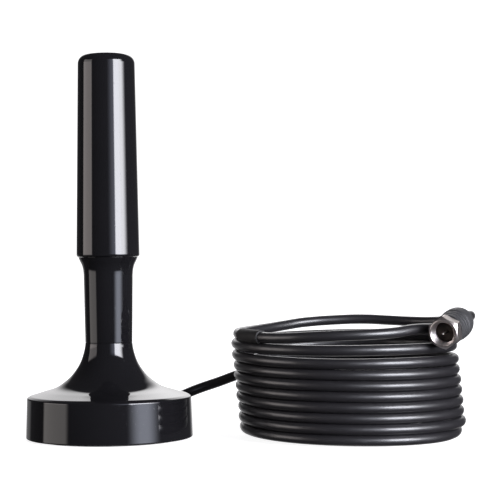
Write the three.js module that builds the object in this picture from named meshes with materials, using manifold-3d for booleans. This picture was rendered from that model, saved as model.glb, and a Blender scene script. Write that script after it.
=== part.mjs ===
// Magnetic-base cellular antenna of a signal booster: a stub mast on a round magnet foot,
// with its coaxial lead, the lead's coil and the plug. Millimetres, +Z up, origin at the
// centre of the foot's underside.
import * as THREE from 'three';
import { mergeVertices } from 'three/addons/utils/BufferGeometryUtils.js';
import Module from 'manifold-3d';

const wasm = await Module();
wasm.setup();

// ---- driving dimensions ----
const totalHeight = 152;
const footRadius = 32.95;       // base wall at the floor
const rimRadius = 32.45;        // base wall at its top
const wallBottom = 0.6;         // the wall stands this far off the floor
const wallTop = 16.6;
const seamHeight = 38;          // where the mast unscrews from the base
const neckRadius = 9.3;         // mast at the seam
const collarRadius = 11.75;     // mast neck under the barrel
const barrelRadius = 12.45;     // barrel at its foot
const barrelTopRadius = 11.3;
const barrelFoot = 71.8;
const gap = 0.3;                // clearance between pieces that rest on each other
const cableRadius = 2.05;
const threadPitch = 1.5;        // mast thread
const threadLength = 9;

// the cable's exit through the base wall
const exitAzimuth = THREE.MathUtils.degToRad(50);
const exitRise = THREE.MathUtils.degToRad(12);
const exitHeight = 11.8;

// the coil of spare cable beside the base
const coilCentre = new THREE.Vector2(96.7, 1.5);   // at floor height
const coilLean = -0.1;                             // sideways shift per mm of height
const coilMeanRadius = 42.65;
const coilTop = 37.4;                              // top of the turns that lie tight

// the plug: centre of its mating face, and the way it points
const plugFace = new THREE.Vector3(128.2, -36, 41.9);
const plugAxis = new THREE.Vector3(-0.381, -0.912, -0.154).normalize();
const plugLength = 30;

// ---- materials ----
const finish = (color, roughness, metalness) => (
  new THREE.MeshStandardMaterial({ color, roughness, metalness })
);
const glossBlack = finish(0x0b0b0d, 0.12, 0);
const jacketBlack = finish(0x141416, 0.38, 0);
const bootRubber = finish(0x3a3a3c, 0.7, 0);
const sealRubber = finish(0x101010, 0.85, 0);
const nickel = finish(0xd6cfcb, 0.2, 1);
const zincSteel = finish(0x8d9096, 0.35, 1);
const magnetGrey = finish(0x3b3c40, 0.6, 0.4);
const brass = finish(0xc9a14a, 0.3, 1);
const copper = finish(0xb87048, 0.3, 1);
const whiteInsulator = finish(0xece9e0, 0.5, 0);
const darkInsulator = finish(0x3a2c26, 0.5, 0);

const antenna = new THREE.Group();

// ---- geometry helpers ----

// Merge the corners, drop collapsed triangles and turn the faces outwards.
function closedBody(source) {
  const bare = source.clone();
  bare.deleteAttribute('normal');
  bare.deleteAttribute('uv');
  const merged = mergeVertices(bare, 1e-4);
  const place = merged.attributes.position;
  const from = merged.index.array;
  const faces = [];
  let volume = 0;
  const [a, b, c] = [new THREE.Vector3(), new THREE.Vector3(), new THREE.Vector3()];
  for (let i = 0; i < from.length; i += 3) {
    const [p, q, r] = [from[i], from[i + 1], from[i + 2]];
    if (p === q || q === r || r === p) continue;
    faces.push(p, q, r);
    a.fromBufferAttribute(place, p);
    b.fromBufferAttribute(place, q);
    c.fromBufferAttribute(place, r);
    volume += a.dot(b.cross(c));
  }
  merged.setIndex(volume < 0 ? faces.reverse() : faces);
  merged.computeVertexNormals();
  return merged;
}

function toSolid(geometry) {
  const body = closedBody(geometry);
  return new wasm.Manifold(new wasm.Mesh({
    numProp: 3,
    vertProperties: new Float32Array(body.attributes.position.array),
    triVerts: new Uint32Array(body.index.array),
  }));
}

function fromSolid(solid) {
  const mesh = solid.getMesh();
  const geometry = new THREE.BufferGeometry();
  geometry.setAttribute('position', new THREE.BufferAttribute(mesh.vertProperties, 3));
  geometry.setIndex(new THREE.BufferAttribute(mesh.triVerts, 1));
  geometry.computeVertexNormals();
  return geometry;
}

const cut = (geometry, tools) => (
  fromSolid(tools.reduce((body, tool) => body.subtract(toSolid(tool)), toSolid(geometry)))
);
const join = (geometry, extras) => (
  fromSolid(extras.reduce((body, extra) => body.add(toSolid(extra)), toSolid(geometry)))
);
const overlap = (geometry, other) => fromSolid(toSolid(geometry).intersect(toSolid(other)));

// A body of revolution about Z from [radius, height] points.
function turned(profile, segments = 32) {
  const points = profile.map(([radius, height]) => new THREE.Vector2(radius, height));
  return closedBody(new THREE.LatheGeometry(points, segments).rotateX(Math.PI / 2));
}

// A ring or sleeve of plain rectangular section.
function sleeve(inner, outer, bottom, top, segments = 32) {
  return turned([[inner, bottom], [outer, bottom], [outer, top], [inner, top], [inner, bottom]], segments);
}

// A solid rod.
function rod(radius, bottom, top, segments = 20) {
  return turned([[0, bottom], [radius, bottom], [radius, top], [0, top]], segments);
}

// Profile points of a quarter-round between two directions given in degrees.
function arc(centreRadius, centreHeight, radius, fromDegrees, toDegrees, steps) {
  return Array.from({ length: steps + 1 }, (_, i) => {
    const angle = THREE.MathUtils.degToRad(fromDegrees + (toDegrees - fromDegrees) * i / steps);
    return [centreRadius + radius * Math.cos(angle), centreHeight + radius * Math.sin(angle)];
  });
}

// Profile points along a smooth curve through a few knots.
function smooth(knots, steps) {
  const curve = new THREE.SplineCurve(knots.map(([radius, height]) => new THREE.Vector2(radius, height)));
  return curve.getPoints(steps).map((point) => [point.x, point.y]);
}

// Round wire or cable along a route, with `sides` flats.
function cableAlong(curve, radius, steps, sides = 10, bore = 0) {
  const section = new THREE.Shape();
  const corner = (i, r) => [r * Math.cos(2 * Math.PI * i / sides), r * Math.sin(2 * Math.PI * i / sides)];
  section.moveTo(...corner(0, radius));
  for (let i = 1; i < sides; i++) section.lineTo(...corner(i, radius));
  section.closePath();
  if (bore > 0) {
    const hole = new THREE.Path();
    hole.moveTo(...corner(0, bore));
    for (let i = 1; i < sides; i++) hole.lineTo(...corner(sides - i, bore));
    hole.closePath();
    section.holes.push(hole);
  }
  return closedBody(new THREE.ExtrudeGeometry(section, { steps, extrudePath: curve, curveSegments: 1 }));
}

function hexagon(acrossFlats, hole = 0) {
  const corner = acrossFlats / Math.sqrt(3);
  const shape = new THREE.Shape();
  for (let i = 0; i < 6; i++) {
    const at = [corner * Math.cos(Math.PI * i / 3), corner * Math.sin(Math.PI * i / 3)];
    if (i === 0) shape.moveTo(...at);
    else shape.lineTo(...at);
  }
  shape.closePath();
  if (hole > 0) shape.holes.push(new THREE.Path().absarc(0, 0, hole, 0, 2 * Math.PI, true));
  return shape;
}

function extruded(shape, bottom, top) {
  const options = { depth: top - bottom, bevelEnabled: false, curveSegments: 12 };
  return new THREE.ExtrudeGeometry(shape, options).translate(0, 0, bottom);
}

class Helix extends THREE.Curve {
  constructor(radius, bottom, top, turns) {
    super();
    Object.assign(this, { radius, bottom, top, turns });
  }

  getPoint(t, target = new THREE.Vector3()) {
    const angle = 2 * Math.PI * this.turns * t;
    return target.set(
      this.radius * Math.cos(angle),
      this.radius * Math.sin(angle),
      this.bottom + (this.top - this.bottom) * t,
    );
  }
}

function add(name, geometry, material, parent = antenna) {
  const mesh = new THREE.Mesh(geometry, material);
  mesh.name = name;
  parent.add(mesh);
  return mesh;
}

// ---- base: shell, magnet foot and the stud that carries the mast ----
const cupTop = 6.3;             // steel cup that closes the magnet's field
const cupPlate = 1.4;
const screwCircle = 23.5;
const screwHoleRadius = 1.8;
const screwAngles = [90, 210, 330].map((degrees) => THREE.MathUtils.degToRad(degrees));
const exitDirection = new THREE.Vector3(
  Math.cos(exitRise) * Math.cos(exitAzimuth),
  Math.cos(exitRise) * Math.sin(exitAzimuth),
  Math.sin(exitRise),
);
const exitPoint = new THREE.Vector3(
  (rimRadius + 0.2) * Math.cos(exitAzimuth),
  (rimRadius + 0.2) * Math.sin(exitAzimuth),
  exitHeight,
);
const exitTurn = new THREE.Quaternion().setFromUnitVectors(new THREE.Vector3(0, 0, 1), exitDirection);

const alongExit = (geometry) => geometry.applyQuaternion(exitTurn).translate(...exitPoint.toArray());
const onCircle = (geometry, angle) => (
  geometry.translate(screwCircle * Math.cos(angle), screwCircle * Math.sin(angle), 0)
);

// the saddle that holds the lead down inside the base
const clampSpread = 5.9;        // its screws stand this far from the lead
const clampRadius = 15.5;       // its distance from the mast's axis
const clampHalfWidth = 8;

const clampPlace = (geometry) => geometry.translate(clampRadius, 0, 0).rotateZ(exitAzimuth);

function baseShell() {
  const flare = smooth([
    [31.35, 17.2], [26.1, 18.75], [21, 20.4], [17.5, 22.7], [14.8, 25.1],
    [12.4, 28.3], [10.9, 31.2], [9.75, 35], [neckRadius, seamHeight - 0.1],
  ], 13);
  const profile = [
    [footRadius - 0.5, wallBottom], [footRadius, wallBottom + 0.5],
    ...arc(rimRadius - 0.7, wallTop - 0.5, 0.7, 5, 75, 3), ...flare,
    [5.3, seamHeight - 0.1], [5.3, 30], [4.4, 30], [4.4, 27.6], [8.2, 27.6], [9.4, 26], [11.6, 24],
    [15, 21], [19, 18.7], [24.5, 16.8], [29.2, 15.2], [29.9, 14], [29.9, wallBottom],
    [footRadius - 0.5, wallBottom],
  ];
  const boss = (angle) => onCircle(rod(3.2, cupTop + gap, 17.6, 16), angle);
  const pilot = (angle) => onCircle(rod(screwHoleRadius - 0.1, cupTop, 15.6, 16), angle);
  const bossed = join(turned(profile, 40), screwAngles.map(boss));
  return cut(bossed, [...screwAngles.map(pilot), alongExit(rod(3.3, -8, 6, 20))]);
}

function magnetCup() {
  const plateFoot = cupTop - cupPlate;
  const cup = turned([
    [0, cupTop], [28.9, cupTop], [29.3, cupTop - 0.4], [29.3, 1.5], [27.3, 1.5], [27.3, plateFoot],
    [0, plateFoot],
  ], 36);
  const holes = screwAngles.map((angle) => onCircle(rod(screwHoleRadius, 4, 8, 16), angle));
  const clampHoles = [-1, 1].map((side) => (
    clampPlace(rod(1.2, 4, 8, 12).translate(0, side * clampSpread, 0))
  ));
  return cut(cup, [...holes, ...clampHoles]);
}

function mastStud() {
  const thread = [];
  const crests = threadLength / threadPitch;
  for (let i = 0; i < crests; i++) {
    const foot = seamHeight + 0.1 + i * threadPitch;
    thread.push([3.55, foot + 0.1], [4, foot + threadPitch * 0.45], [4, foot + threadPitch * 0.6]);
  }
  return turned([
    [2.3, 21.6], [4, 21.6], [4, 30 + gap], [5, 30 + gap], [5, seamHeight - 0.5], [3.55, seamHeight - 0.5],
    ...thread, [3.5, 47.4], [2.3, 47.4], [2.3, 21.6],
  ], 20);
}

// The clamp is made in its own frame, X along the lead.
function cableClamp() {
  const [inner, outer, foot, top] = [2.5, 3.6, cupTop + gap, 9.4];
  const outline = new THREE.Shape();
  outline.moveTo(clampHalfWidth, foot);
  outline.lineTo(clampHalfWidth, foot + 1);
  outline.lineTo(outer, foot + 1);
  outline.absarc(0, top, outer, 0, Math.PI, false);
  outline.lineTo(-outer, foot + 1);
  outline.lineTo(-clampHalfWidth, foot + 1);
  outline.lineTo(-clampHalfWidth, foot);
  outline.lineTo(-inner, foot);
  outline.absarc(0, top, inner, Math.PI, 0, true);
  outline.lineTo(inner, foot);
  outline.closePath();
  const strap = new THREE.ExtrudeGeometry(outline, { depth: 5, bevelEnabled: false, curveSegments: 8 });
  strap.translate(0, 0, -2.5).rotateX(Math.PI / 2).rotateZ(Math.PI / 2);
  const holes = [-1, 1].map((side) => rod(1.2, 6, 8, 12).translate(0, side * clampSpread, 0));
  return clampPlace(cut(strap, holes));
}

function groundTag() {
  const ring = extruded(new THREE.Shape().absarc(0, 0, 6.6, 0, 2 * Math.PI, false), 22, 22.8);
  const tab = new THREE.BoxGeometry(7, 3.2, 0.8).translate(8.6, 0, 22.4).rotateZ(exitAzimuth + Math.PI);
  return cut(join(ring, [tab]), [rod(4.3, 21, 24, 24)]);
}

function panScrew(headRadius, headHeight, shankRadius, length) {
  const recess = Math.min(headHeight * 0.6, 1.1);
  const screw = turned([
    [0, 0], [headRadius * 0.75, 0], [headRadius, headHeight * 0.4], [headRadius, headHeight],
    [shankRadius, headHeight], [shankRadius, headHeight + length - 0.8], [0, headHeight + length],
  ], 16);
  const slot = (turn) => new THREE.BoxGeometry(headRadius, headRadius * 0.24, recess * 2).rotateZ(turn);
  return cut(screw, [slot(0), slot(Math.PI / 2)]);
}

add('base_shell', baseShell(), glossBlack);
add('magnet_cup', magnetCup(), zincSteel);
add('magnet_ring', sleeve(8, 19.5, 1.5, cupTop - cupPlate - gap, 32), magnetGrey);
add('foot_pad', turned([[0, 0], [29.1, 0], [29.5, 0.4], [29.5, 1.2], [0, 1.2]], 40), sealRubber);
screwAngles.forEach((angle, i) => {
  add(`base_screw_${i + 1}`, onCircle(panScrew(2.8, 1.9, 1.35, 8.2).translate(0, 0, 2.7), angle), zincSteel);
});
add('mast_stud', mastStud(), brass);
add('stud_nut', closedBody(extruded(hexagon(12, 4.3), 23.1, 27.2)), brass);
add('ground_tag', groundTag(), nickel);
add('stud_insulator', sleeve(0.95, 2, 20.6, 46.9, 20), whiteInsulator);
add('stud_contact', turned([[0, 19], [0.6, 19], [0.6, 47], [0.35, 47.3], [0, 47.3]], 12), brass);
add('cable_clamp', cableClamp(), nickel);
[-1, 1].forEach((side, i) => {
  const screw = panScrew(1.9, 1.2, 0.95, 2.6).rotateX(Math.PI).translate(0, side * clampSpread, 9.1);
  add(`clamp_screw_${i + 1}`, clampPlace(screw), zincSteel);
});

// ---- the lead inside the base, from the strain relief to the stud ----
const insideStart = exitPoint.clone().addScaledVector(exitDirection, -6.6);
const insideRoute = new THREE.CatmullRomCurve3([
  insideStart,
  exitPoint.clone().addScaledVector(exitDirection, -11).setZ(9.5),
  new THREE.Vector3(clampRadius * Math.cos(exitAzimuth), clampRadius * Math.sin(exitAzimuth), 9.4),
  new THREE.Vector3(5.4, 6.4, 10.4),
  new THREE.Vector3(1.4, 1.7, 13.6),
  new THREE.Vector3(0, 0, 18.4),
]);
add('feed_lead', cableAlong(insideRoute, cableRadius, 16, 8), jacketBlack);

// ---- mast: everything above the seam turns and lifts off together ----
function mastNeck() {
  const collar = smooth([
    [9.75, 64.8], [9.9, 66.8], [10.35, 68.6], [11.1, 70.2], [collarRadius, barrelFoot - gap],
  ], 6);
  return turned([
    [neckRadius, seamHeight + 0.1], [neckRadius + 0.2, 50], ...collar, [10, barrelFoot - gap], [10, 76],
    [7.9, 76], [7.9, 50], [6.8, 50], [6.8, 39.4], [7.7, 39.4], [7.7, seamHeight + 0.1],
    [neckRadius, seamHeight + 0.1],
  ], 36);
}

function radomeBarrel() {
  const wall = 1.6;
  const corner = 3.8;
  const shoulder = totalHeight - corner;
  return turned([
    [0, totalHeight], ...arc(barrelTopRadius - corner, shoulder, corner, 90, 0, 5),
    ...arc(barrelRadius - 0.9, barrelFoot + 0.9, 0.9, 0, -80, 3), [barrelRadius - wall - 0.1, barrelFoot],
    [barrelRadius - wall, 78], [barrelTopRadius - wall, shoulder],
    [barrelTopRadius - wall - 1.8, totalHeight - wall], [0, totalHeight - wall],
  ], 36);
}

const rodTop = 141;
add('mast_seal', sleeve(5.6, 7.4, seamHeight + 0.15, 39.1, 28), sealRubber);
add('mast_neck', mastNeck(), glossBlack);
add('radome_barrel', radomeBarrel(), glossBlack);
add('thread_insert', turned([
  [4.35, 39.7], [6.5, 39.7], [6.5, 50 + gap], [7.6, 50 + gap], [7.6, 52], [4.35, 52], [4.35, 39.7],
], 28), brass);
add('contact_pin', turned([
  [0, 47.6], [0.9, 47.6], [1.2, 48.2], [1.2, 52.6], [1.6, 52.6], [1.6, 53.4], [0, 53.4],
], 16), brass);
add('contact_spring', closedBody(cableAlong(new Helix(1.25, 54, 60, 5), 0.25, 40, 5)), zincSteel);
add('mast_insulator', sleeve(1.9, 7.5, 52.3, 66, 28), whiteInsulator);
add('radiator_rod', rod(1.5, 60.7, rodTop, 16), brass);
add('coil_former', sleeve(1.8, 3.6, 84, 112, 20), whiteInsulator);
add('loading_coil', cableAlong(new Helix(4.5, 87, 109, 7), 0.55, 70, 5), copper);
add('lower_spacer', sleeve(1.8, 9.8, 78, 81, 28), whiteInsulator);
add('upper_spacer', sleeve(1.8, 9, 134, 137, 28), whiteInsulator);

// ---- the free cable: strain relief, bridge to the coil, coil, and the last raised turn ----
function strainRelief() {
  return alongExit(turned([
    [0, -6.3], [4, -6.3], [4, -4.2], [2.95, -4.2], [2.95, 1.5], [4, 1.5], [4, 2.4],
    [3.4, 3.3], [2.7, 7], [0, 7],
  ], 20));
}

// Distance round the coil as an angle in degrees, at a given radius and height.
function besideCoil(degrees, radius, height) {
  const angle = THREE.MathUtils.degToRad(degrees);
  return new THREE.Vector3(
    coilCentre.x + coilLean * height + radius * Math.cos(angle),
    coilCentre.y + radius * Math.sin(angle),
    height,
  );
}

const besideRadius = coilMeanRadius + 2 * cableRadius + 2 * gap;    // the lead passes outside the coil
const leadStart = exitPoint.clone().addScaledVector(exitDirection, 7 + gap);
const leadRoute = new THREE.CatmullRomCurve3([
  leadStart,
  leadStart.clone().addScaledVector(exitDirection, 4),
  new THREE.Vector3(33.6, 35.6, 16.2),
  new THREE.Vector3(42.5, 36.4, 19.1),
  new THREE.Vector3(52.4, 36.3, 22.4),
  new THREE.Vector3(59.6, 36.9, 23.2),
  besideCoil(127, besideRadius, 22.2),
  besideCoil(112, besideRadius, 18.6),
  besideCoil(95, besideRadius, 14.2),
  besideCoil(78, besideRadius, 9.7),
  besideCoil(62, besideRadius, 5.7),
  besideCoil(47, besideRadius, 2.9),
]);

const plugTail = plugFace.clone().addScaledVector(plugAxis, -plugLength - gap);
// The last turn lies loose on the others: angle, radius and height of its middle.
const looseTurn = [
  [-52, 40.9, 43.1], [-64, 41.35, 42.55], [-77, 42.15, 42.15], [-92, 42.55, 41.9], [-108, 42.65, 41.4],
  [-124, 42.65, 40.8], [-140, 42.45, 40.7], [-156, 42.05, 40.9], [-172, 41.55, 41.05], [-188, 40.95, 41.1],
  [-204, 40.35, 41.2], [-220, 40.15, 41.6], [-236, 40.75, 42.4], [-250, 41.65, 43.4],
];
const tailRoute = new THREE.CatmullRomCurve3([
  ...looseTurn.map((stop) => besideCoil(...stop)),
  new THREE.Vector3(92.6, 44.4, 44.2),
  new THREE.Vector3(103.8, 44.4, 44.4),
  new THREE.Vector3(114.6, 42, 43.9),
  new THREE.Vector3(124.6, 37.6, 43.5),
  new THREE.Vector3(133, 31.2, 43.7),
  new THREE.Vector3(139.5, 23, 44.5),
  new THREE.Vector3(143.2, 14, 45.7),
  new THREE.Vector3(143.7, 4.5, 46.9),
  plugTail.clone().addScaledVector(plugAxis, -3.6),
  plugTail,
]);

function coilOfCable() {
  const ring = sleeve(coilMeanRadius - cableRadius, coilMeanRadius + cableRadius, 0, coilTop, 48);
  const lean = new THREE.Matrix4().makeShear(0, 0, 0, 0, coilLean, 0);
  return ring.applyMatrix4(lean).translate(coilCentre.x, coilCentre.y, 0);
}

// The sleeve sits on the loose turn between two of its stops.
const [bandFrom, bandTo] = [looseTurn[6], looseTurn[7]];
const bandStop = (share) => besideCoil(...bandFrom.map((value, i) => value + (bandTo[i] - value) * share));
const bandRoute = new THREE.CatmullRomCurve3([0, 0.5, 1].map(bandStop));

add('strain_relief', strainRelief(), sealRubber);
add('cable_lead', cableAlong(leadRoute, cableRadius, 20), jacketBlack);
add('cable_coil', closedBody(coilOfCable()), jacketBlack);
add('cable_tail', cableAlong(tailRoute, cableRadius, 36), jacketBlack);
add('cable_band', cableAlong(bandRoute, 2.75, 4, 10, 2.4), sealRubber);

// ---- plug, in its own frame: +Z out of the mating face, which lies at 0 ----
const plug = new THREE.Group();
plug.position.copy(plugFace);
plug.quaternion.setFromUnitVectors(new THREE.Vector3(0, 0, 1), plugAxis);
antenna.add(plug);

const nutFlats = 11.1;
const nutHexagon = 5.6;         // length of the six flats
const nutLength = 7.6;          // with the round collar behind them
const nutCollar = 5;            // radius of that collar
const nutBore = 4.35;
const nutPitch = 1;
const ferruleEnd = -23.6;       // back of the plug's metal body
const insulatorFace = -4.5;     // how deep the insulator sits in the nut

function couplingNut() {
  const blank = closedBody(extruded(hexagon(nutFlats), -nutHexagon, 0));
  const envelope = turned([
    [0, -nutHexagon], [5.75, -nutHexagon], [6.35, -nutHexagon + 0.5], [6.35, -1.5], [5.6, -0.55],
    [5.3, -0.15], [5, 0], [0, 0],
  ], 24);
  const collar = rod(nutCollar, -nutLength, -nutHexagon + 1, 24);
  const grooves = [];
  for (let depth = 0.8; depth < 4.2; depth += nutPitch) {
    grooves.push([nutBore, -depth], [nutBore + 0.35, -depth - nutPitch / 2]);
  }
  const bore = turned([
    [0, 1], [nutBore + 0.5, 1], [nutBore + 0.5, -0.3], ...grooves, [nutBore, -6], [0, -6],
  ], 20);
  return cut(join(overlap(blank, envelope), [collar]), [bore, rod(3.6, -9, -5, 24)]);
}

function plugBody() {
  return turned([
    [1.75, ferruleEnd], [4, ferruleEnd], [4, -9.9], [4.6, -9.5], [4.6, -8.3], [3.2, -8.3], [3.2, -5.7],
    [4, -5.7], [4, -4.9], [1.75, -4.9], [1.75, ferruleEnd],
  ], 28);
}

function plugBoot() {
  const back = -plugLength;
  return turned([
    [5.3, -6.2], [5.8, -6.2], [6, -6.5], [6, -8.4], [5.6, -8.8], [5.6, -9.6], [6, -10], [6, -11.2],
    [5.6, -11.6], [5.6, -12.4], [6, -12.8], [6, -14], [5.6, -14.4], [5.6, -15.2], [6.15, -15.6],
    [6.25, -16.2], [6.15, -20.4], [5.7, -23], [4.8, -25.6], [3.8, -28], [3.2, back], [2.4, back],
    [2.4, ferruleEnd - gap], [4.3, ferruleEnd - gap], [4.3, -10.1], [4.9, -9.8], [4.9, -8.2],
    [5.3, -7.9], [5.3, -6.2],
  ], 24);
}

add('coupling_nut', couplingNut(), nickel, plug);
add('plug_body', plugBody(), nickel, plug);
add('plug_insulator', turned([
  [0.7, ferruleEnd], [1.45, ferruleEnd], [1.45, -4.8], [3.9, -4.8], [3.9, insulatorFace],
  [0.7, insulatorFace], [0.7, ferruleEnd],
], 20), darkInsulator, plug);
add('centre_pin', turned([
  [0, ferruleEnd], [0.4, ferruleEnd], [0.4, 0], [0.15, 0.5], [0, 0.5],
], 12), nickel, plug);
add('plug_boot', plugBoot(), bootRubber, plug);

export default antenna;
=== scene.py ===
# Magnetic-mount antenna of a signal booster, with its coiled coaxial lead. Metres, +Z up.
import math

import bmesh
import bpy
from mathutils import Matrix, Vector


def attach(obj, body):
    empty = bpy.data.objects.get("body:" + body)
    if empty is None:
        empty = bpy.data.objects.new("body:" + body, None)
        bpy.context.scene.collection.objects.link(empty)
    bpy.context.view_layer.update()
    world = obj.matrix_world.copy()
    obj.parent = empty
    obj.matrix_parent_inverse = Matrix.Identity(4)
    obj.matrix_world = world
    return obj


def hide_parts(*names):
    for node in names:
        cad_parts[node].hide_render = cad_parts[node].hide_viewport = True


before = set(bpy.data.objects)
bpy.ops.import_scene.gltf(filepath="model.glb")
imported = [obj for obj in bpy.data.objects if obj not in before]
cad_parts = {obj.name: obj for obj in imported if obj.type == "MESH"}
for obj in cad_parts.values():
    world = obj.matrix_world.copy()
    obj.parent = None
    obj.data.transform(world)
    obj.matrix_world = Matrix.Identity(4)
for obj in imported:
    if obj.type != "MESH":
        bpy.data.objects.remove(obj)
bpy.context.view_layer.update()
mm = 0.001
print("frame loaded:", len(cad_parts), "nodes")


# camera
cameraView = {"place": (56.2, -673, 74), "focalLength": 122.4, "roll": 0.55}

cameraData = bpy.data.cameras.new("camera")
cameraData.lens = cameraView["focalLength"]
cameraData.sensor_width = 36
cameraData.clip_start = 0.01
cameraData.clip_end = 50
camera = bpy.data.objects.new("camera", cameraData)
camera.location = Vector(cameraView["place"]) * mm
camera.rotation_euler = (math.radians(90), math.radians(cameraView["roll"]), 0)
bpy.context.scene.collection.objects.link(camera)
bpy.context.scene.camera = camera
bpy.context.scene.view_settings.view_transform = "Standard"
print("camera placed")


# One socket of a node tree. Arithmetic on it adds Math nodes.
class Wire:
    def __init__(self, tree, socket=None):
        self.tree = tree
        self.socket = socket

    def node(self, kind, settings=None, inputs=None, output=0):
        made = self.tree.nodes.new("ShaderNode" + kind)
        for name, value in (settings or {}).items():
            setattr(made, name, value)
        for name, value in (inputs or {}).items():
            if isinstance(value, Wire):
                self.tree.links.new(value.socket, made.inputs[name])
            else:
                made.inputs[name].default_value = value
        return Wire(self.tree, made.outputs[output]) if made.outputs else made

    def maths(self, operation, first, second=0):
        return self.node("Math", {"operation": operation}, {0: first, 1: second})

    def __add__(self, other):
        return self.maths("ADD", self, other)

    def __radd__(self, other):
        return self.maths("ADD", other, self)

    def __sub__(self, other):
        return self.maths("SUBTRACT", self, other)

    def __rsub__(self, other):
        return self.maths("SUBTRACT", other, self)

    def __mul__(self, other):
        return self.maths("MULTIPLY", self, other)

    def __rmul__(self, other):
        return self.maths("MULTIPLY", other, self)

    def ease(self, low, high):
        settings = {"interpolation_type": "SMOOTHSTEP"}
        return self.node("MapRange", settings, {"Value": self, "From Min": low, "From Max": high})

    def within(self, low, high, softLow, softHigh):
        return self.ease(low, low + softLow) * (1 - self.ease(high - softHigh, high))

    def tint(self, colour):
        return self.node("VectorMath", {"operation": "SCALE"}, {0: colour, "Scale": self})

    def join(self, other):
        return self.node("VectorMath", {"operation": "ADD"}, {0: self, 1: other})

    def mixColour(self, plain, full):
        kind = {"data_type": "RGBA"}
        return self.node("Mix", kind, {0: self, 6: (*plain, 1), 7: (*full, 1)}, 2)


# studio: what the surfaces see in each direction, in degrees right of -Y and above the floor
studio = {
    "lamps": [
        {"azimuth": (30, 84), "soft": (5, 22), "elevation": (-0.5, 10), "fade": (1, 1.5), "light": 17,
         "colour": (0.98, 0.985, 1.04)},
        {"azimuth": (30, 76), "soft": (5, 18), "elevation": (8.5, 28), "fade": (1.5, 1.5), "light": 17,
         "colour": (0.98, 0.985, 1.04)},
        {"azimuth": (4, 60), "soft": (28, 10), "elevation": (-0.5, 30), "fade": (2, 6), "light": 1.9,
         "colour": (0.9, 0.96, 1.2)},
        {"azimuth": (27, 80), "soft": (22, 24), "elevation": (-16, 0.5), "fade": (8, 1), "light": 4.4,
         "colour": (0.92, 0.97, 1.14)},
        {"azimuth": (-100, -54), "soft": (4, 5), "elevation": (-0.5, 10), "fade": (1, 2), "light": 2.8,
         "colour": (1.08, 0.99, 0.97)},
        {"azimuth": (-100, -54), "soft": (4, 5), "elevation": (8, 27), "fade": (2, 5), "light": 1.7,
         "colour": (1.06, 0.99, 0.98)},
        {"azimuth": (-100, -52), "soft": (5, 8), "elevation": (-16, 0.5), "fade": (8, 1), "light": 1.6,
         "colour": (1.06, 1, 0.97)},
        {"azimuth": (-180, -132), "soft": (1, 8), "elevation": (-30, 0.5), "fade": (4, 1), "light": 0.25,
         "colour": (1, 1, 1)},
    ],
    "backdrop": {"opens": (150, 176), "rises": (0, 32), "fadesOut": (34, 41), "low": 1, "high": 3.2},
    "whiteness": 1.2,
    "backColour": (1, 0.99, 1),
    "ambient": (0.059, 0.058, 0.063),
}


def hangLights(settings):
    world = bpy.data.worlds.new("studio")
    world.use_nodes = True
    world.node_tree.nodes.clear()
    start = Wire(world.node_tree)
    direction = start.node("TexCoord", output="Generated")
    split = start.node("SeparateXYZ", {}, {0: direction}).socket.node
    east, north, up = (Wire(world.node_tree, split.outputs[i]) for i in range(3))
    azimuth = start.maths("ARCTAN2", east, 0 - north) * math.degrees(1)
    elevation = start.maths("ARCSINE", up) * math.degrees(1)
    light = start.node("CombineXYZ", {}, dict(enumerate(settings["ambient"])))
    for lamp in settings["lamps"]:
        across = azimuth.within(*lamp["azimuth"], *lamp["soft"])
        upright = elevation.within(*lamp["elevation"], *lamp["fade"])
        light = light.join((across * upright * lamp["light"]).tint(lamp["colour"]))
    back = settings["backdrop"]
    aside = start.maths("ABSOLUTE", azimuth)
    level = back["low"] + elevation.ease(*back["rises"]) * (back["high"] - back["low"])
    sweep = aside.ease(*back["opens"]) * (1 - elevation.ease(*back["fadesOut"])) * level
    light = light.join(sweep.tint(settings["backColour"]))
    seen = start.node("Background", {}, {"Color": (1, 1, 1, 1), "Strength": settings["whiteness"]})
    shone = start.node("Background", {}, {"Color": light})
    direct = start.node("LightPath", output="Is Camera Ray")
    shown = start.node("MixShader", {}, {0: direct, 1: shone, 2: seen})
    start.node("OutputWorld", {}, {"Surface": shown})
    bpy.context.scene.world = world


hangLights(studio)

floorLook = {"size": 6, "glow": 0.9, "colour": (0.86, 0.86, 0.86)}
floorMaterial = bpy.data.materials.new("floorPaper")
floorMaterial.use_nodes = True
floorMaterial.node_tree.nodes.clear()
floorStart = Wire(floorMaterial.node_tree)
floorPaint = floorStart.node("BsdfDiffuse", {}, {"Color": (*floorLook["colour"], 1)})
floorGlow = floorStart.node("Emission", {}, {"Color": (1, 1, 1, 1), "Strength": floorLook["glow"]})
floorBoth = floorStart.node("AddShader", {}, {0: floorPaint, 1: floorGlow})
floorStart.node("OutputMaterial", {}, {"Surface": floorBoth})
floorShape = bmesh.new()
bmesh.ops.create_grid(floorShape, x_segments=1, y_segments=1, size=floorLook["size"] / 2)
floorMesh = bpy.data.meshes.new("floor")
floorShape.to_mesh(floorMesh)
floorShape.free()
floorMesh.materials.append(floorMaterial)
floor = bpy.data.objects.new("floor", floorMesh)
floor.visible_glossy = False
floor.visible_diffuse = False
bpy.context.scene.collection.objects.link(floor)
print("studio ready")


# materials
def newMaterial(name, recipe, fixed=None):
    material = bpy.data.materials.new(name)
    material.use_nodes = True
    tree = material.node_tree
    shader = tree.nodes["Principled BSDF"]
    for socket, value in (fixed or {}).items():
        shader.inputs[socket].default_value = value
    for socket, wire in recipe(Wire(tree)).items():
        tree.links.new(wire.socket, shader.inputs[socket])
    return material


def noise(start, place, scale, detail=2, roughness=0.5):
    values = {"Vector": place, "Scale": scale, "Detail": detail, "Roughness": roughness}
    return start.node("TexNoise", {}, values)


def stretched(start, place, scale):
    return start.node("Mapping", {}, {"Vector": place, "Scale": scale})


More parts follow.
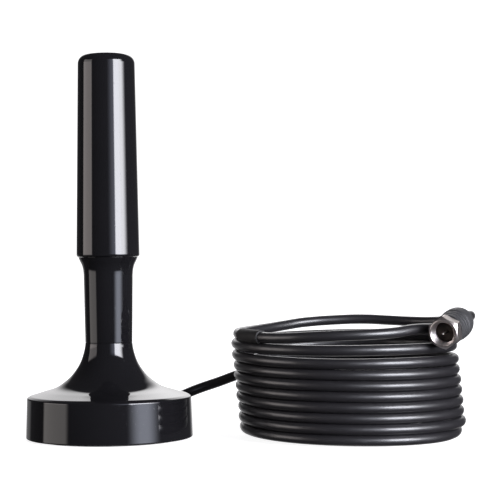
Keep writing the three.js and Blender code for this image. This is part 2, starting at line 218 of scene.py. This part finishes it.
def bumped(start, height, strength, distance):
    return start.node("Bump", {}, {"Height": height, "Strength": strength, "Distance": distance * mm})


glossSettings = {
    "dark": (0.006, 0.006, 0.007), "pale": (0.010, 0.0095, 0.011), "polish": 0.02,
    "haze": 0.03, "wipe": 0.02, "specks": 0.16,
}


def glossRecipe(start):
    place = start.node("TexCoord", output="Object")
    haze = noise(start, place, 38, 3, 0.55)
    wipe = noise(start, stretched(start, place, (1, 1, 0.22)), 260, 2)
    specks = noise(start, place, 1400, 1).ease(0.7, 0.78)
    skin = noise(start, place, 520, 2)
    rough = glossSettings["polish"] + glossSettings["haze"] * haze
    rough = rough + glossSettings["wipe"] * wipe + glossSettings["specks"] * specks
    return {
        "Base Color": haze.mixColour(glossSettings["dark"], glossSettings["pale"]),
        "Roughness": rough,
        "Normal": bumped(start, skin + specks * 0.6, 0.12, 0.012),
    }


jacketSettings = {
    "dark": (0.009, 0.0088, 0.0102), "pale": (0.020, 0.018, 0.022), "rough": 0.37,
    "broad": 0.1, "scuffs": 0.12,
}


def jacketRecipe(start):
    place = start.node("TexCoord", output="Object")
    broad = noise(start, place, 55, 3, 0.6)
    grain = noise(start, place, 1300, 2)
    scuffs = noise(start, stretched(start, place, (1, 1, 5)), 210, 3, 0.65).ease(0.56, 0.74)
    rough = jacketSettings["rough"] + jacketSettings["broad"] * broad + jacketSettings["scuffs"] * scuffs
    return {
        "Base Color": (broad * 0.7 + scuffs * 0.3).mixColour(jacketSettings["dark"], jacketSettings["pale"]),
        "Roughness": rough,
        "Normal": bumped(start, grain + broad * 0.8, 0.16, 0.03),
    }


jacketCoat = {"Specular IOR Level": 0.8, "Coat Weight": 0.35, "Coat Roughness": 0.16}


def rubberRecipe(dark, pale, rough):
    def recipe(start):
        place = start.node("TexCoord", output="Object")
        bloom = noise(start, place, 120, 4, 0.6)
        grain = noise(start, place, 2600, 2, 0.6)
        return {
            "Base Color": bloom.mixColour(dark, pale),
            "Roughness": rough + 0.14 * bloom - 0.06 * grain,
            "Normal": bumped(start, grain, 0.35, 0.03),
        }
    return recipe


def platedRecipe(dark, pale, rough, lineScale):
    def recipe(start):
        place = start.node("TexCoord", output="Object")
        cloud = noise(start, place, 170, 3, 0.6)
        turning = noise(start, stretched(start, place, lineScale), 300, 3, 0.6)
        tarnish = noise(start, place, 520, 4, 0.7).ease(0.5, 0.78)
        return {
            "Base Color": (cloud * 0.6 + tarnish * 0.4).mixColour(pale, dark),
            "Roughness": rough + 0.1 * cloud + 0.12 * tarnish,
            "Normal": bumped(start, turning, 0.3, 0.02),
        }
    return recipe


def mottledRecipe(dark, pale, rough, scale):
    def recipe(start):
        place = start.node("TexCoord", output="Object")
        cloud = noise(start, place, scale, 4, 0.65)
        grit = noise(start, place, scale * 9, 2)
        return {
            "Base Color": cloud.mixColour(dark, pale),
            "Roughness": rough + 0.2 * grit,
            "Normal": bumped(start, grit + cloud, 0.3, 0.05),
        }
    return recipe


metal = {"Metallic": 1.0}
plating = {     # dark and pale tone, roughness, stretch of the turning lines
    "nickelPlate": ((0.56, 0.50, 0.47), (0.86, 0.80, 0.77), 0.28, (3, 3, 3)),
    "zincSteel": ((0.38, 0.39, 0.41), (0.62, 0.63, 0.65), 0.28, (1, 1, 9)),
    "turnedBrass": ((0.48, 0.33, 0.12), (0.80, 0.60, 0.26), 0.2, (0.4, 0.4, 14)),
    "bareCopper": ((0.52, 0.24, 0.13), (0.86, 0.48, 0.30), 0.22, (2, 2, 2)),
}
mottling = {    # dark and pale tone, roughness, scale
    "groundFerrite": ((0.045, 0.045, 0.05), (0.11, 0.11, 0.12), 0.5, 420),
    "whiteInsulator": ((0.62, 0.60, 0.55), (0.80, 0.78, 0.73), 0.35, 160),
    # dark brown insulator tone, partly the insulator's own colour and partly painted shade: it also colours a
    # lip over the ferrule face that stands in for the shade inside the plug's bore
    "insulatorAndBoreShade": ((0.030, 0.019, 0.013), (0.060, 0.042, 0.032), 0.4, 300),
}
rubbers = {     # dark and pale tone, roughness
    "bootRubber": ((0.036, 0.036, 0.038), (0.060, 0.060, 0.063), 0.55),
    "sealRubber": ((0.010, 0.010, 0.010), (0.022, 0.022, 0.022), 0.6),
}


def plated(name):
    return newMaterial(name, platedRecipe(*plating[name]), metal)


def mottled(name):
    return newMaterial(name, mottledRecipe(*mottling[name]))


def rubbery(name):
    return newMaterial(name, rubberRecipe(*rubbers[name]))


finishes = {
    "gloss_black": newMaterial("glossBlackShell", glossRecipe),
    "cable_jacket": newMaterial("cableJacket", jacketRecipe, jacketCoat),
    "boot_rubber": rubbery("bootRubber"),
    "seal_rubber": rubbery("sealRubber"),
    "nickel": plated("nickelPlate"),
    "zinc_steel": plated("zincSteel"),
    "magnet": mottled("groundFerrite"),
    "brass": plated("turnedBrass"),
    "copper": plated("bareCopper"),
    "white_insulator": mottled("whiteInsulator"),
    "dark_insulator": mottled("insulatorAndBoreShade"),
}

nodeFinishes = {
    "magnet_cup": "zinc_steel",
    "magnet_ring": "magnet",
    "base_screw_1": "zinc_steel",
    "base_screw_2": "zinc_steel",
    "base_screw_3": "zinc_steel",
    "stud_nut": "brass",
    "ground_tag": "nickel",
    "cable_clamp": "nickel",
    "clamp_screw_1": "zinc_steel",
    "clamp_screw_2": "zinc_steel",
    "feed_lead": "cable_jacket",
    "contact_spring": "zinc_steel",
    "mast_insulator": "white_insulator",
    "radiator_rod": "brass",
    "coil_former": "white_insulator",
    "loading_coil": "copper",
    "lower_spacer": "white_insulator",
    "upper_spacer": "white_insulator",
}
for nodeName, finishName in nodeFinishes.items():
    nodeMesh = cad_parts[nodeName].data
    nodeMesh.materials.clear()
    nodeMesh.materials.append(finishes[finishName])
print("materials mixed")


# making pieces
def arc(centreRadius, centreHeight, radius, start, end, steps=6):
    angles = [math.radians(start + (end - start) * i / steps) for i in range(steps + 1)]
    return [(centreRadius + radius * math.cos(a), centreHeight + radius * math.sin(a)) for a in angles]


# points on a smooth line through a few knots
def flowing(knots, steps):
    ends = [Vector(knots[0]) * 2 - Vector(knots[1]), Vector(knots[-1]) * 2 - Vector(knots[-2])]
    guide = [ends[0], *(Vector(knot) for knot in knots), ends[1]]
    line = []
    for before, here, there, after in zip(guide, guide[1:], guide[2:], guide[3:]):
        for i in range(steps):
            t = i / steps
            bend = (here * 2 + (there - before) * t + (before * 2 - here * 5 + there * 4 - after) * t * t
                    + (here * 3 - before - there * 3 + after) * t ** 3) / 2
            line.append(tuple(bend))
    return [*line, tuple(knots[-1])]


# rings close to the ends of each long run keep its shading flat
def steadied(outline, reach=0.2):
    line = [outline[0]]
    for here, there in zip(outline, outline[1:]):
        run = Vector(there) - Vector(here)
        if run.length > 6 * reach:
            step = run.normalized() * reach
            line += [tuple(Vector(here) + step), tuple(Vector(there) - step)]
        line.append(there)
    return line


def turned(outline, sides=96):
    work = bmesh.new()
    rim = [work.verts.new((radius * mm, 0, height * mm)) for radius, height in steadied(outline)]
    edges = [work.edges.new(pair) for pair in zip(rim, rim[1:])]
    bmesh.ops.spin(work, geom=rim + edges, axis=(0, 0, 1), cent=(0, 0, 0), dvec=(0, 0, 0),
                   angle=math.tau, steps=sides, use_merge=True)
    bmesh.ops.remove_doubles(work, verts=work.verts, dist=1e-7)
    return work


# a helical ridge whose foot sits at one radius and whose crest sits at another
def threadRidge(work, foot, crest, bottom, top, pitch, sides=40):
    turns = (top - bottom) / pitch
    section = [(foot, 0.04), (crest, 0.42), (crest, 0.58), (foot, 0.96)]
    corners = [
        work.verts.new((radius * mm, 0, (bottom + (share - 0.5) * pitch) * mm)) for radius, share in section
    ]
    edges = [work.edges.new((corners[i], corners[(i + 1) % 4])) for i in range(4)]
    work.faces.new(corners)
    steps = round(sides * turns)
    swept = bmesh.ops.spin(work, geom=edges, axis=(0, 0, 1), cent=(0, 0, 0),
                           dvec=(0, 0, (top - bottom) * mm / steps), angle=math.tau * turns, steps=steps)
    last = [part for part in swept["geom_last"] if isinstance(part, bmesh.types.BMEdge)]
    bmesh.ops.contextual_create(work, geom=last)


def piece(work, name, finish, body, place=None, sharp=38):
    if place:
        bmesh.ops.transform(work, matrix=place, verts=work.verts)
    bmesh.ops.remove_doubles(work, verts=work.verts, dist=1e-7)
    bmesh.ops.recalc_face_normals(work, faces=work.faces)
    mesh = bpy.data.meshes.new(name)
    work.to_mesh(mesh)
    work.free()
    mesh.shade_smooth()
    mesh.set_sharp_from_angle(angle=math.radians(sharp))
    mesh.materials.append(finishes[finish])
    made = bpy.data.objects.new(name, mesh)
    bpy.context.scene.collection.objects.link(made)
    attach(made, body)
    return made


# the free cord: from the base to the coil, round it, and over its top to the plug
cordLay = {
    "radius": 2.05,
    "exitAzimuth": 50,
    "exitRise": 12,
    "exitReach": 32.65,
    "exitHeight": 11.8,
    "reliefLength": 7.3,
    "coilCentre": (96.7, 1.5),
    "coilLean": -0.1,
    "coilRadius": 42.65,
    "coilStart": 20,
    "turns": 9.2,
    "pitch": 4.06,
    "sway": 0.85,
    "flatAt": 0.03,
    "stepsPerTurn": 24,
    "length": 2.85,
}
# extra height and radius along the winding, by turn
looseHeight = [
    (7.05, 0), (7.2, 0.35), (7.36, 0), (7.75, 0.05), (8.2, 1.35), (8.5, 0.4), (8.75, 0), (8.97, 0.1),
    (9.05, 2.15), (9.14, 4.5), (9.2, 4.5),
]
looseRadius = [
    (0, 1.2), (0.03, -0.9), (0.07, -2.1), (0.12, -2), (0.17, -0.9), (0.23, 0), (1.3, 0.15), (2.4, -0.2),
    (3.5, 0.15), (4.6, -0.1), (5.4, 0.15), (6.5, -0.15), (7.4, 0.1), (8.4, -0.2), (8.85, 0), (8.98, -1.7),
    (9.04, -2.7), (9.15, -2.6), (9.2, -2.1),
]


def between(knots, where):
    if where <= knots[0][0]:
        return knots[0][1]
    for (left, low), (right, high) in zip(knots, knots[1:]):
        if where <= right:
            share = (where - left) / (right - left)
            return low + (high - low) * share * share * (3 - 2 * share)
    return knots[-1][1]


def besideCoil(degrees, radius, height):
    angle = math.radians(degrees)
    across, back = cordLay["coilCentre"]
    across += cordLay["coilLean"] * height
    return Vector((across + radius * math.cos(angle), back + radius * math.sin(angle), height))


def woundPoint(turn):
    sway = math.sin(math.tau * (turn - cordLay["flatAt"])) + math.sin(math.tau * cordLay["flatAt"])
    rise = turn - cordLay["sway"] * sway / math.tau
    height = cordLay["radius"] + cordLay["pitch"] * rise + between(looseHeight, turn)
    radius = cordLay["coilRadius"] + between(looseRadius, turn)
    return besideCoil(cordLay["coilStart"] - 360 * turn, radius, height)


exitAngle = math.radians(cordLay["exitAzimuth"])
exitPitch = math.radians(cordLay["exitRise"])
exitDirection = Vector((
    math.cos(exitPitch) * math.cos(exitAngle), math.cos(exitPitch) * math.sin(exitAngle), math.sin(exitPitch),
))
exitPoint = Vector((
    cordLay["exitReach"] * math.cos(exitAngle),
    cordLay["exitReach"] * math.sin(exitAngle),
    cordLay["exitHeight"],
))
plugFace = Vector((128.2, -36, 41.9))
plugAxis = Vector((-0.381, -0.912, -0.154)).normalized()
plugLength = 30
plugTail = plugFace - plugAxis * (plugLength + 0.3)
leadStart = exitPoint + exitDirection * cordLay["reliefLength"]

leadPoints = [
    leadStart - exitDirection * 1.5,
    leadStart + exitDirection * 4,
    Vector((33.6, 35.6, 16.2)),
    Vector((42.5, 36.4, 19.1)),
    Vector((52.4, 36.3, 22.4)),
    Vector((59.6, 36.9, 23.2)),
    besideCoil(127, 47.3, 22.2),
    besideCoil(112, 47.3, 18.6),
    besideCoil(95, 47.3, 14.2),
    besideCoil(78, 47.3, 9.7),
    besideCoil(62, 47.3, 5.6),
    besideCoil(47, 47.1, 2.9),
    besideCoil(33, 45.8, 2.1),
]
windings = round(cordLay["turns"] * cordLay["stepsPerTurn"])
coilPoints = [woundPoint(cordLay["turns"] * i / windings) for i in range(windings + 1)]
# the last turn, which lies loose on the others: angle, radius and height
topTurn = [
    (-64, 41.35, 42.55), (-77, 42.15, 42.15), (-92, 42.55, 41.9), (-108, 42.65, 41.4), (-124, 42.65, 40.8),
    (-140, 42.45, 40.7), (-156, 42.05, 40.9), (-172, 41.55, 41.05), (-188, 40.95, 41.1), (-204, 40.35, 41.2),
    (-220, 40.15, 41.6), (-236, 40.75, 42.4), (-250, 41.65, 43.4),
]
tailPoints = [
    *(besideCoil(*stop) for stop in topTurn),
    Vector((92.6, 44.4, 44.2)),
    Vector((103.8, 44.4, 44.4)),
    Vector((114.6, 42, 43.9)),
    Vector((124.6, 37.6, 43.5)),
    Vector((133, 31.2, 43.7)),
    Vector((139.5, 23, 44.5)),
    Vector((143.2, 14, 45.7)),
    Vector((143.7, 4.5, 46.9)),
    plugTail - plugAxis * 3.6,
    plugTail + plugAxis * 1.5,
]


def layCord(name, points, radius, resolution=4):
    curve = bpy.data.curves.new(name, "CURVE")
    curve.dimensions = "3D"
    curve.bevel_depth = radius * mm
    curve.bevel_resolution = 8
    curve.resolution_u = resolution
    curve.use_fill_caps = True
    spline = curve.splines.new("BEZIER")
    spline.bezier_points.add(len(points) - 1)
    for knot, point in zip(spline.bezier_points, points):
        knot.co = point * mm
        knot.handle_left_type = "AUTO"
        knot.handle_right_type = "AUTO"
    return bpy.data.objects.new(name, curve)


cord = layCord("coax_cord", leadPoints + coilPoints + tailPoints, cordLay["radius"])
cord.data.materials.append(finishes["cable_jacket"])
bpy.context.scene.collection.objects.link(cord)
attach(cord, "base")
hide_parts("cable_lead", "cable_coil", "cable_tail")
print("cord laid")


# shrink sleeve round the top turn
sleeveShape = {"outer": 2.75, "from": -140, "to": -161, "steps": 6}


def shrinkSleeve():
    steps = sleeveShape["steps"]
    route = []
    for i in range(steps + 1):
        degrees = sleeveShape["from"] + (sleeveShape["to"] - sleeveShape["from"]) * i / steps
        ahead = next(n for n, stop in enumerate(topTurn) if stop[0] < degrees)
        here, there = Vector(topTurn[ahead - 1]), Vector(topTurn[ahead])
        route.append(besideCoil(*here.lerp(there, (degrees - here.x) / (there.x - here.x))))
    guide = layCord("sleeveGuide", route, sleeveShape["outer"], 6)
    bpy.context.scene.collection.objects.link(guide)
    bpy.context.view_layer.update()
    mesh = guide.evaluated_get(bpy.context.evaluated_depsgraph_get()).to_mesh()
    work = bmesh.new()
    work.from_mesh(mesh)
    bpy.data.objects.remove(guide)
    bmesh.ops.remove_doubles(work, verts=work.verts, dist=1e-6)
    ends = [edge for edge in work.edges if len(edge.link_faces) == 2 and edge.calc_face_angle(0) > 1]
    bmesh.ops.bevel(work, geom=ends, offset=0.2 * mm, affect="EDGES", segments=3, profile=0.5, material=-1)
    return work


sleeve = piece(shrinkSleeve(), "cord_sleeve", "seal_rubber", "base")
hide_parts("cable_band")


# base: flared housing over the magnet foot
baseShape = {
    "wallFoot": (32.95, 0.6),
    "rimRadius": 32.45,
    "wallTop": 16.6,
    "flare": [(31.35, 17.2), (26.1, 18.75), (21, 20.4), (17.5, 22.7), (14.8, 25.1), (12.4, 28.3),
              (10.9, 31.2), (9.75, 35), (9.3, 37.9)],
    "sides": 144,
}


def baseHousing():
    footRadius, footHeight = baseShape["wallFoot"]
    outline = [
        (29.9, footHeight), (footRadius - 0.5, footHeight),
        *arc(footRadius - 0.5, footHeight + 0.5, 0.5, -90, 0, 4),
        *arc(baseShape["rimRadius"] - 0.7, baseShape["wallTop"] - 0.5, 0.7, 2, 72, 8),
        *flowing(baseShape["flare"], 7),
        *arc(9.18, 37.9, 0.12, 0, 90, 3),
        (5.3, 38.02), (5.3, 30), (4.4, 30), (4.4, 27.6), (8.2, 27.6), (9.4, 26), (11.6, 24), (15, 21),
        (19, 18.7), (24.5, 16.8), (29.2, 15.2), (29.9, 14), (29.9, footHeight),
    ]
    return turned(outline, baseShape["sides"])


housing = piece(baseHousing(), "base_housing", "gloss_black", "base")
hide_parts("base_shell")

footShape = {"radius": 29.5, "height": 1.2, "edge": 0.4, "grooves": (12, 20, 26)}


def footPad():
    outline = [(0, 0)]
    for groove in footShape["grooves"]:
        outline += [(groove - 0.5, 0), (groove - 0.35, 0.25), (groove + 0.35, 0.25), (groove + 0.5, 0)]
    edge = footShape["edge"]
    outline += arc(footShape["radius"] - edge, edge, edge, -90, 0, 5)
    outline += [(footShape["radius"], footShape["height"]), (0, footShape["height"])]
    return turned(outline, 112)


pad = piece(footPad(), "foot_rubber", "seal_rubber", "base", sharp=30)
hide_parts("foot_pad")

studShape = {"bore": 2.3, "root": 3.5, "crest": 4, "threadFoot": 38.9, "threadTop": 46.3, "pitch": 1.5}


def mastStud():
    bore, root = studShape["bore"], studShape["root"]
    work = turned([
        (bore, 21.6), (4, 21.6), (4, 30.3), (5, 30.3), (5, 37.3), (4.8, 37.5), (root, 37.6), (root, 46.9),
        (root - 0.5, 47.4), (bore, 47.4), (bore, 21.6),
    ], 64)
    threadRidge(work, root - 0.1, studShape["crest"], studShape["threadFoot"], studShape["threadTop"],
                studShape["pitch"])
    return work


stud = piece(mastStud(), "threaded_stud", "brass", "base")
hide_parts("mast_stud")

studCoreShape = {"bore": 0.95, "radius": 2, "foot": 20.6, "top": 46.9, "chamfer": 0.1}


def studDielectric():
    bore, radius, foot, top, chamfer = studCoreShape.values()
    return turned([
        (bore, foot), (radius, foot), (radius, top - chamfer), (radius - chamfer, top), (bore, top),
        (bore, foot),
    ], 48)


studCore = piece(studDielectric(), "stud_dielectric", "white_insulator", "base")
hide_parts("stud_insulator")

contactShape = {"radius": 0.6, "foot": 19, "shoulder": 47, "tip": 0.3}


def studContactPin():
    radius, foot, shoulder, tip = contactShape.values()
    return turned([
        (0, foot), (radius, foot), (radius, shoulder), *arc(radius - tip, shoulder, tip, 0, 90, 4),
        (0, shoulder + tip),
    ], 32)


studContact = piece(studContactPin(), "stud_contact_pin", "brass", "base")
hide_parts("stud_contact")

reliefShape = {
    "ribs": 3, "firstRib": 2.9, "ribStep": 1.35, "crest": 3.35, "crestTaper": 0.22, "root": 2.85,
    "rootTaper": 0.18,
}


def exitRelief():
    outline = [(0, -6.3), (4, -6.3), (4, -4.2), (2.95, -4.2), (2.95, 1.5), *arc(3.8, 1.7, 0.2, -90, 0, 2),
               *arc(3.8, 2.2, 0.2, 0, 90, 2), (3.5, 2.5)]
    for i in range(reliefShape["ribs"]):
        foot = reliefShape["firstRib"] + i * reliefShape["ribStep"]
        crest = reliefShape["crest"] - i * reliefShape["crestTaper"]
        root = reliefShape["root"] - i * reliefShape["rootTaper"]
        outline += [(crest, foot), (crest - 0.05, foot + 0.75)]
        outline += [(root, foot + 0.95), (root - 0.05, foot + 1.2)]
    outline += [(2.65, 6.8), (2.5, 7), (0, 7)]
    return turned(outline, 48)


exitTurn = Vector((0, 0, 1)).rotation_difference(exitDirection).to_matrix().to_4x4()
exitPlace = Matrix.Translation(exitPoint * mm) @ exitTurn
relief = piece(exitRelief(), "cord_grommet", "seal_rubber", "base", exitPlace)
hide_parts("strain_relief")
print("base built")


# mast: neck and barrel, which unscrew from the base together
mastShape = {
    "neckRadius": 9.3,
    "seam": 38.05,
    "collar": [(9.7, 64.8), (9.9, 66.8), (10.35, 68.6), (11.1, 70.2), (11.75, 71.75)],
    "barrelFoot": 71.8,
    "barrelRadius": 12.45,
    "barrelTopRadius": 11.3,
    "corner": 3.8,
    "top": 152,
    "wall": 1.6,
}


def mastNeck():
    radius, seam = mastShape["neckRadius"], mastShape["seam"]
    outline = [
        (7.7, seam), *arc(radius - 0.12, seam + 0.12, 0.12, -90, 0, 3), (radius + 0.2, 50),
        *flowing(mastShape["collar"], 5), (10, 71.75), (10, 76), (7.9, 76), (7.9, 50), (6.8, 50), (6.8, 39.4),
        (7.7, 39.4), (7.7, seam),
    ]
    return turned(outline, 112)


def radomeBarrel():
    foot, top, wall, corner = (mastShape[key] for key in ("barrelFoot", "top", "wall", "corner"))
    wide, narrow = mastShape["barrelRadius"], mastShape["barrelTopRadius"]
    outline = [
        (wide - wall - 0.1, foot), *arc(wide - 0.9, foot + 0.9, 0.9, -90, 0, 8),
        *arc(narrow - corner, top - corner, corner, 0, 90, 18), (0, top), (0, top - wall),
        (narrow - wall - 1.8, top - wall), (narrow - wall, top - corner), (wide - wall, 78),
        (wide - wall - 0.1, foot),
    ]
    return turned(outline, 128)


neck = piece(mastNeck(), "mast_tube", "gloss_black", "mast")
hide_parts("mast_neck")
barrel = piece(radomeBarrel(), "barrel_cover", "gloss_black", "mast")
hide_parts("radome_barrel")

sealShape = {"inner": 5.85, "outer": 7.15, "low": 38.4, "high": 38.85, "edge": 0.25}


def seamSeal():
    inner, outer, low, high, edge = sealShape.values()
    return turned([
        *arc(outer, low, edge, -90, 0, 3), *arc(outer, high, edge, 0, 90, 3),
        *arc(inner, high, edge, 90, 180, 3), *arc(inner, low, edge, 180, 270, 3), (outer, 38.15),
    ], 96)


seal = piece(seamSeal(), "seam_seal", "seal_rubber", "seal")
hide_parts("mast_seal")

insertShape = {"root": 4.85, "crest": 4.35, "threadFoot": 40.6, "threadTop": 51.1}


def threadInsert():
    work = turned([
        (4.75, 39.7), (6.4, 39.7), (6.5, 39.8), (6.5, 50.3), (7.6, 50.3), (7.6, 52), (4.75, 52), (4.75, 39.7),
    ], 64)
    threadRidge(work, *insertShape.values(), studShape["pitch"])
    return work


insert = piece(threadInsert(), "thread_bush", "brass", "mast")
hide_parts("thread_insert")

pinShape = {"tip": 47.6, "nose": 0.3, "radius": 1.2, "neck": 52.6, "head": 1.6, "top": 53.4}


def sprungPin():
    tip, nose, radius, neck, head, top = pinShape.values()
    return turned([
        (0, tip), *arc(radius / 2, tip + nose, nose, -90, 0, 3), (radius, tip + 0.7), (radius, neck),
        (head, neck), (head, top), (0, top),
    ], 32)


pin = piece(sprungPin(), "sprung_pin", "brass", "mast")
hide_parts("contact_pin")
print("mast built")


# plug, made along +Z with its mating face at zero
plugShape = {
    "flats": 11.1, "hexagon": 5.6, "nutBack": 7.6, "collar": 5, "bore": 4.05, "boreWall": 4.4, "pitch": 0.8,
    "threadFoot": -4.5, "threadTop": -0.5, "twist": 11, "body": 23.6, "grip": 6,
    "ribs": (-8.8, -11.6, -14.4), "ribDepth": 0.5, "core": 1.45, "coreBore": 0.7, "pin": 0.4,
}


def couplingNut():
    hexagon, back, wall, collar = (plugShape[key] for key in ("hexagon", "nutBack", "boreWall", "collar"))
    work = turned([
        (3.6, -back), (collar - 0.2, -back), (collar, -back + 0.2), (collar, -hexagon), (5.75, -hexagon),
        *arc(5.85, -hexagon + 0.5, 0.5, -60, 0, 4), (6.35, -1.5), (5.6, -0.55),
        *arc(5.1, -0.3, 0.3, 20, 90, 5), (wall + 0.4, 0), (wall, -0.45), (wall, -5.7), (wall - 0.3, -6),
        (3.6, -6), (3.6, -back),
    ], 144)
    half = plugShape["flats"] / 2 * mm
    for i in range(6):
        angle = math.radians(plugShape["twist"] + 30 + 60 * i)
        outwards = Vector((math.cos(angle), math.sin(angle), 0))
        everything = work.verts[:] + work.edges[:] + work.faces[:]
        cut = bmesh.ops.bisect_plane(work, geom=everything, dist=1e-7, plane_co=outwards * half,
                                     plane_no=outwards, clear_outer=True)
        rim = [part for part in cut["geom_cut"] if isinstance(part, bmesh.types.BMEdge)]
        bmesh.ops.edgeloop_fill(work, edges=rim)
    threadRidge(work, wall + 0.1, plugShape["bore"], plugShape["threadFoot"], plugShape["threadTop"],
                plugShape["pitch"], 48)
    return work


def plugBody():
    back = -plugShape["body"]
    return turned([
        (1.75, back), (4, back), (4, -9.9), (4.6, -9.5), (4.6, -8.3), (3.2, -8.3), (3.2, -5.7),
        *arc(3.75, -5.55, 0.15, -90, 0, 2), *arc(3.75, -5.05, 0.15, 0, 90, 2), (1.75, -4.9), (1.75, back),
    ], 72)


def plugGrip():
    grip, depth = plugShape["grip"], plugShape["ribDepth"]
    ribs = []
    for groove in plugShape["ribs"]:
        ribs += [*arc(grip - 0.2, groove + 0.4, 0.2, 0, -60, 3), (grip - depth, groove)]
        ribs += [(grip - depth, groove - 0.8), *arc(grip - 0.2, groove - 1.2, 0.2, 60, 0, 3)]
    sleeve = [(6.2, -15.8), (6.25, -17), (6.15, -20.4), (5.7, -23), (4.8, -25.6), (3.8, -28), (3.3, -29.7)]
    return turned([
        (5.3, -6.2), *arc(5.75, -6.45, 0.25, 90, 0, 4), *ribs, *flowing(sleeve, 4),
        *arc(3.1, -plugLength + 0.2, 0.2, 0, -90, 3), (2.4, -plugLength), (2.4, -23.9), (4.3, -23.9),
        (4.3, -10.1), (4.9, -9.8), (4.9, -8.2), (5.3, -7.9), (5.3, -6.2),
    ], 80)


# The dielectric, partly real and partly painted shade: its dark brown front lip reaches out to the bore wall
# over the ferrule face and paints the shade inside the bore.
def plugDielectricAndBoreShade():
    back, core, bore = -plugShape["body"], plugShape["core"], plugShape["coreBore"]
    return turned([
        (bore, back), (core, back), (core, -4.8), (3.9, -4.8), (3.9, -4.6), (3.8, -4.5), (bore + 0.15, -4.5),
        (bore, -4.65), (bore, back),
    ], 64)


def plugPin():
    back, radius = -plugShape["body"], plugShape["pin"]
    return turned([(0, back), (radius, back), (radius, 0), (0.33, 0.25), (0.18, 0.45), (0, 0.5)], 32)


plugTurn = Vector((0, 0, 1)).rotation_difference(plugAxis).to_matrix().to_4x4()
plugPlace = Matrix.Translation(plugFace * mm) @ plugTurn
nut = piece(couplingNut(), "plug_nut", "nickel", "nut", plugPlace, 25)
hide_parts("coupling_nut")
body = piece(plugBody(), "plug_ferrule", "nickel", "base", plugPlace)
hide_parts("plug_body")
# the dielectric's dark front lip is painted shade inside the bore
dielectric = piece(plugDielectricAndBoreShade(), "plug_dielectric_and_bore_shade", "dark_insulator", "base", plugPlace)
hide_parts("plug_insulator")
centrePin = piece(plugPin(), "plug_pin", "nickel", "base", plugPlace)
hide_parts("centre_pin")
grip = piece(plugGrip(), "plug_grip", "boot_rubber", "base", plugPlace)
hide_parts("plug_boot")
print("plug built")
